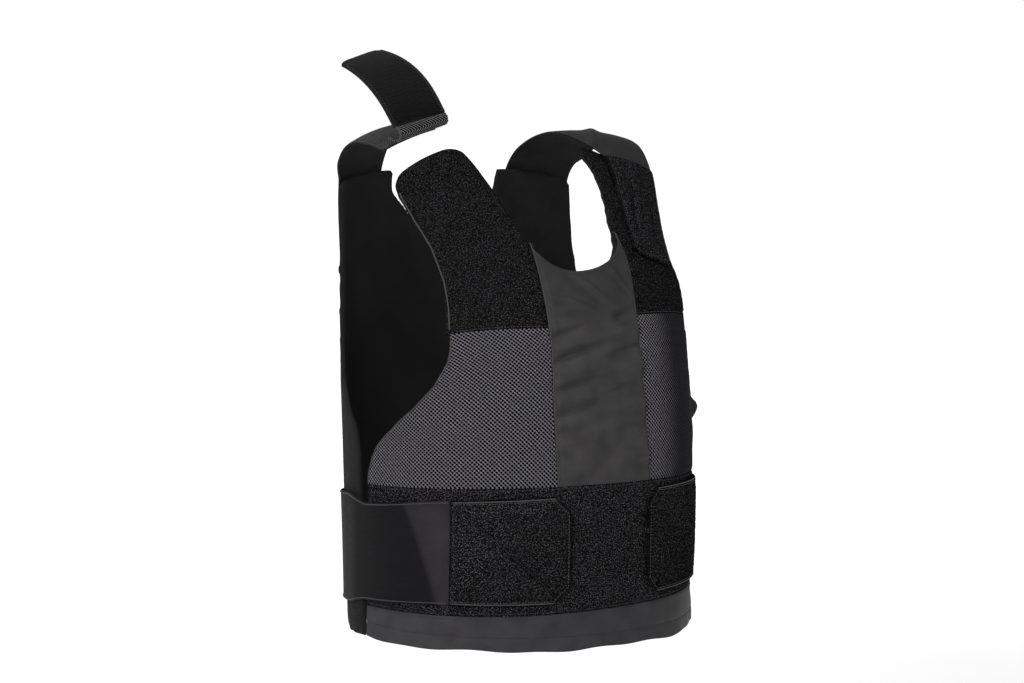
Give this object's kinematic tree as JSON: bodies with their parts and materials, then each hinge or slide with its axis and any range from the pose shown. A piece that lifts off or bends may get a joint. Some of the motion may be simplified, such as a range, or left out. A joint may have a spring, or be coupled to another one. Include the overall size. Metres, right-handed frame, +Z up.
{
  "type": "stab vest",
  "caption": "Soft stab vest in its worn form, with padded front and back panels, shoulder straps and waist straps fastened by hook and loop.",
  "frame": {"origin": "midway between the shoulder straps, on the midplane and at the height of the shoulders that the straps rest on", "axes": "+Z up along the wearer, -Y the way the wearer faces, -X the wearer's right side, which holds the strap with the raised tongue"},
  "size_m": [0.3616, 0.2922, 0.5603],
  "materials": {
    "carrier": "matt woven cover over a flexible panel",
    "twill": "matt fine twill",
    "air_mesh": "knitted spacer mesh with round holes",
    "loop_pile": "fuzzy loop pile",
    "elastic_webbing": "smooth woven elastic",
    "hook_tab": "loop pile with box stitching, hooks beneath",
    "strap_twill": "matt fine twill",
    "hook_face": "fine ribbed hook tape"
  },
  "bodies": {
    "root": {"front_carrier": "carrier", "back_carrier": "carrier", "front_center_panel": "twill", "front_hem": "twill", "front_mesh_left": "air_mesh", "front_mesh_right": "air_mesh", "front_shoulder_loop_left": "loop_pile", "front_shoulder_loop_right": "loop_pile", "front_waist_loop": "loop_pile", "elastic_strap_left": "elastic_webbing", "elastic_strap_right": "elastic_webbing", "waist_tab_left": "hook_tab", "waist_tab_right": "hook_tab", "shoulder_tab_left": "hook_tab", "shoulder_strap_left": "strap_twill", "shoulder_strap_right": "strap_twill", "shoulder_tongue_right": "hook_face", "tongue_fold_right": "hook_face"}
  },
  "joints": []
}
